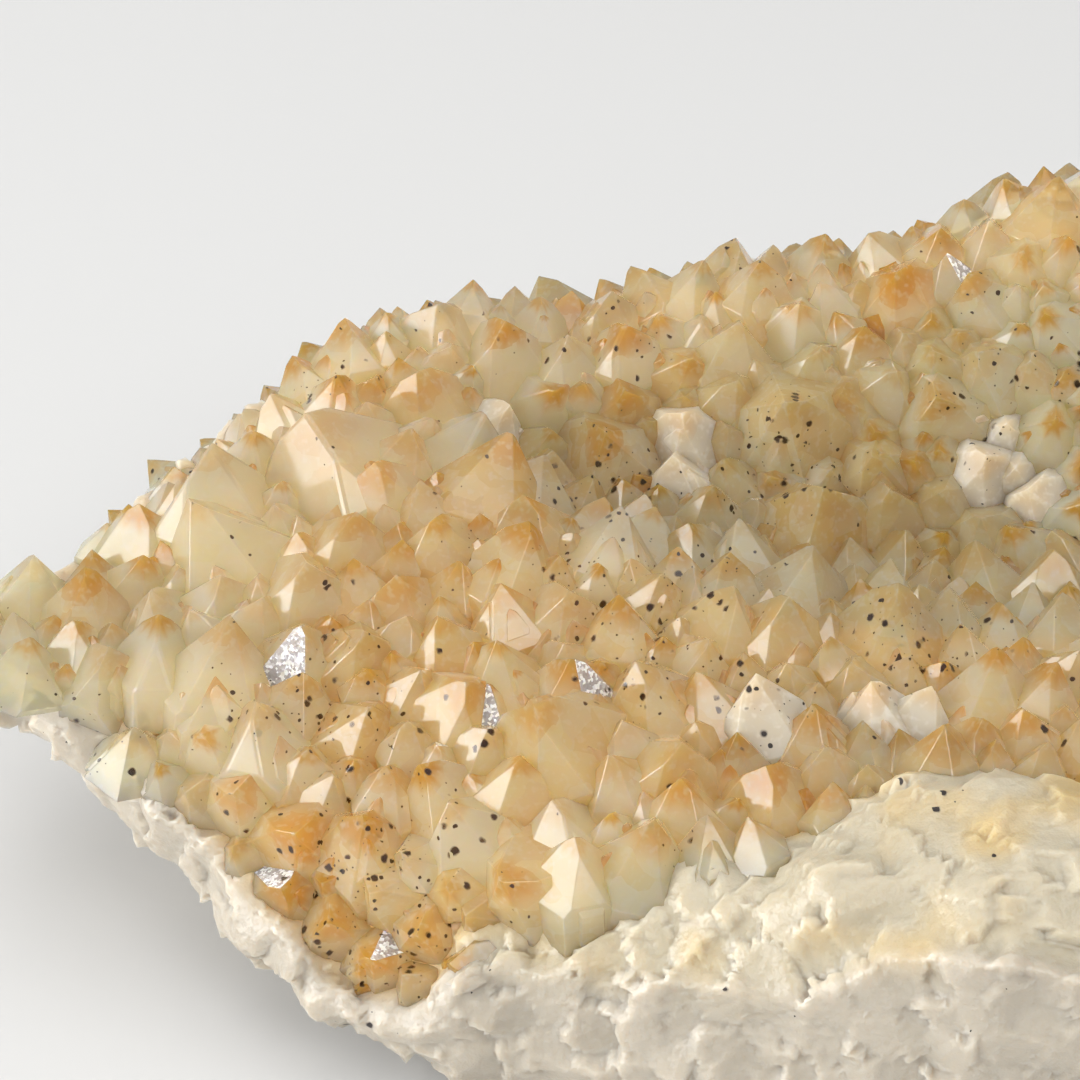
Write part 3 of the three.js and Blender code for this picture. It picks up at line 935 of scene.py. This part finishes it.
citrineLook = {
    "shared": {"ior": 1.544, "glow": (1.0, 0.88, 0.6), "glowScale": 0.005, "specks": 1.0,
               "blot": (0.12, 0.09, 0.07), "grain": (0.02, 0.009, 0.005),
               "mottleFrom": (0.5, 0.75), "mottleMost": 0.3},
    "clear": {"polish": 0.04, "veil": 0.5, "wash": (0.95, 0.93, 0.9), "washShare": 0.05,
              "mottle": (1, 0.94, 0.8),
              "transmission": 0.7, "absorption": 17.0, "absorbed": (0.97, 0.75, 0.3)},
    "frosted": {"polish": 0.35, "veil": 0.8, "wash": (0.38, 0.34, 0.28), "washShare": 0.7,
                "mottle": (0.8, 0.77, 0.72)},
    # faces with a finely grained skin, with white painted glints in their colour beside the real
    # glints of the coat
    "glitter": {"polish": 0.22, "veil": 0.8, "wash": (0.36, 0.34, 0.36), "washShare": 0.9,
                "mottle": (0.5, 0.5, 0.5),
                "sparkle": 3600, "sparkleFrom": (0.45, 0.8), "sparkleTone": (1, 1, 1),
                "coat": 1.0, "coatRoughness": 0.12, "bump": 0.6, "bumpHeight": 0.0002},
}


def makeCitrine(name, look):
    material, tree, shader, output = newMaterial(name)
    shared = citrineLook["shared"]
    body = useGroup(tree, growthGroup, veilAmount=look["veil"], polish=look["polish"])
    dirt = useGroup(tree, speckGroup, amount=shared["specks"])
    tinted = blend(tree, look["washShare"], body["Color"], look["wash"])
    mottle = fade(tree, dirt["Mottle"], shared["mottleFrom"], toMax=shared["mottleMost"])
    tinted = blend(tree, mottle, tinted, look["mottle"])
    if "sparkle" in look:
        # painted glints: the brightest grains are turned white in the colour; the same grains make
        # the bump
        place = addNode(tree, "TexCoord").outputs["Object"]
        grainsAndPaintedGlints = addNode(tree, "TexVoronoi", vector=place, scale=look["sparkle"])
        light = fade(tree, channels(tree, grainsAndPaintedGlints)["Red"], look["sparkleFrom"])
        tinted = blend(tree, light, tinted, look["sparkleTone"])
    dirty = blend(tree, dirt["Blot"], tinted, shared["blot"])
    values = {
        "Base Color": blend(tree, dirt["Grain"], dirty, shared["grain"]),
        "Roughness": body["Roughness"], "IOR": shared["ior"],
        "Subsurface Weight": 1.0, "Subsurface Radius": shared["glow"],
        "Subsurface Scale": shared["glowScale"],
    }
    if "sparkle" in look:
        bump = addNode(tree, "Bump", strength=look["bump"], distance=look["bumpHeight"],
                       height=grainsAndPaintedGlints.outputs["Distance"]).outputs["Normal"]
        values |= {"Coat Weight": look["coat"], "Coat Roughness": look["coatRoughness"],
                   "Normal": bump, "Coat Normal": bump}
    # only one look lets light through: a ray has to leave by the material it came in by
    if "transmission" in look:
        values["Transmission Weight"] = look["transmission"]
        depth = addNode(tree, "VolumeAbsorption", density=look["absorption"],
                        color=look["absorbed"])
        tree.links.new(depth.outputs["Volume"], output.inputs["Volume"])
    for label, value in values.items():
        setSocket(tree, shader.inputs[label], value)
    return material


milkyLook = {
    "wall": (0.5, 0.45, 0.37), "underPoints": (0.78, 0.58, 0.3), "bare": (0.53, 0.47, 0.35),
    "patches": (0.58, 0.44, 0.22), "patchScale": 75, "patchFrom": (0.48, 0.66),
    "specks": 0.15, "blot": (0.14, 0.11, 0.09), "grain": (0.02, 0.012, 0.01),
    "roughness": 0.35, "ior": 1.544, "glow": (1.0, 0.85, 0.7), "glowScale": 0.0025,
    "bump": 0.5, "bumpHeight": 0.0003, "bumpScale": 1300,
}


def makeMilkyQuartz():
    look = milkyLook
    material, tree, shader, _ = newMaterial("milkyQuartz")
    place = addNode(tree, "TexCoord").outputs["Object"]
    stain = addNode(tree, "TexNoise", vector=place, scale=look["patchScale"], detail=2)
    patch = fade(tree, stain.outputs["Fac"], look["patchFrom"])
    bareTone = blend(tree, patch, look["bare"], look["patches"])
    top = blend(tree, meshValue(tree, "bare"), look["underPoints"], bareTone)
    tone = blend(tree, meshValue(tree, "nearCrust"), look["wall"], top)
    dirt = useGroup(tree, speckGroup, amount=look["specks"])
    dirty = blend(tree, dirt["Blot"], tone, look["blot"])
    skin = addNode(tree, "TexNoise", vector=place, scale=look["bumpScale"], detail=2,
                   roughness=0.6)
    values = {
        "Base Color": blend(tree, dirt["Grain"], dirty, look["grain"]),
        "Roughness": look["roughness"], "IOR": look["ior"],
        "Subsurface Weight": 1.0, "Subsurface Radius": look["glow"],
        "Subsurface Scale": look["glowScale"],
        "Normal": addNode(tree, "Bump", strength=look["bump"], distance=look["bumpHeight"],
                          height=skin.outputs["Fac"]).outputs["Normal"],
    }
    for label, value in values.items():
        setSocket(tree, shader.inputs[label], value)
    return material


lookNames = ["clear", "frosted", "glitter"]
crust.data.materials.clear()
for look in lookNames:
    crust.data.materials.append(makeCitrine("citrine" + look.capitalize(), citrineLook[look]))
looks = np.array([lookNames.index("frosted" if kindOf(c) == "frosted" else "clear")
                  for c in crystals])
looks = np.where(glitter, lookNames.index("glitter"), looks[faceCrystal])
crust.data.polygons.foreach_set("material_index", looks.astype(np.int32))
rock.data.materials.append(makeMilkyQuartz())
print("materials made")

for piece in (crust, rock):
    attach(piece, "root")
    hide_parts("citrine_cluster")

# floor, light and camera
studio = {
    "floorSide": 4.0,
    "floorColor": (0.66, 0.66, 0.655),
    "floorRoughness": 0.7, "floorShine": 0.2,
    "worldColor": (1.0, 0.995, 0.985),
    "worldLevel": 0.59,
    # softboxes: place, side, watts
    "key": ((0.0, 0.1, 0.9), 0.8, 3.0),
    "front": ((0.25, -0.55, 0.6), 0.35, 1.6),
    "fill": ((-0.9, -0.25, 0.22), 0.75, 11.5),
    "cameraFrom": (-0.0239, -0.20835, 0.17539),
    "cameraTo": (-0.0239, 0.0072, 0.03),
    "halfView": 48.6 / 260,   # half the view's width over the distance to cameraTo
}


def makeFloor():
    mesh = bpy.data.meshes.new("floor")
    half = studio["floorSide"] / 2
    corners = [(-half, -half, 0), (half, -half, 0), (half, half, 0), (-half, half, 0)]
    mesh.from_pydata(corners, [], [(0, 1, 2, 3)])
    floor = bpy.data.objects.new("floor", mesh)
    scene.collection.objects.link(floor)
    material, tree, shader, _ = newMaterial("paleBoard")
    setSocket(tree, shader.inputs["Base Color"], studio["floorColor"])
    setSocket(tree, shader.inputs["Roughness"], studio["floorRoughness"])
    setSocket(tree, shader.inputs["Specular IOR Level"], studio["floorShine"])
    mesh.materials.append(material)


# turned so that it looks along a direction
def aim(thing, way):
    thing.rotation_euler = Vector(way).to_track_quat("-Z", "Y").to_euler()


def makeLights():
    world = bpy.data.worlds.new("studioAir")
    world.use_nodes = True
    background = world.node_tree.nodes["Background"]
    setSocket(world.node_tree, background.inputs["Color"], studio["worldColor"])
    setSocket(world.node_tree, background.inputs["Strength"], studio["worldLevel"])
    scene.world = world
    for name in ("key", "front", "fill"):
        place, side, watts = studio[name]
        data = bpy.data.lights.new(name + "Softbox", "AREA")
        data.shape = "SQUARE"
        data.size = side
        data.energy = watts
        light = bpy.data.objects.new(name + "Softbox", data)
        light.location = place
        aim(light, -Vector(place))
        scene.collection.objects.link(light)


def makeCamera():
    data = bpy.data.cameras.new("camera")
    data.angle = 2 * math.atan(studio["halfView"])
    data.clip_start = 0.01
    camera = bpy.data.objects.new("camera", data)
    camera.location = studio["cameraFrom"]
    aim(camera, Vector(studio["cameraTo"]) - Vector(studio["cameraFrom"]))
    scene.collection.objects.link(camera)
    scene.camera = camera


makeFloor()
makeLights()
makeCamera()
scene.view_settings.view_transform = "Standard"
scene.cycles.max_bounces = 10
scene.cycles.diffuse_bounces = 3
scene.cycles.glossy_bounces = 3
scene.cycles.transmission_bounces = 8
scene.cycles.adaptive_threshold = 0.3
print("studio made")
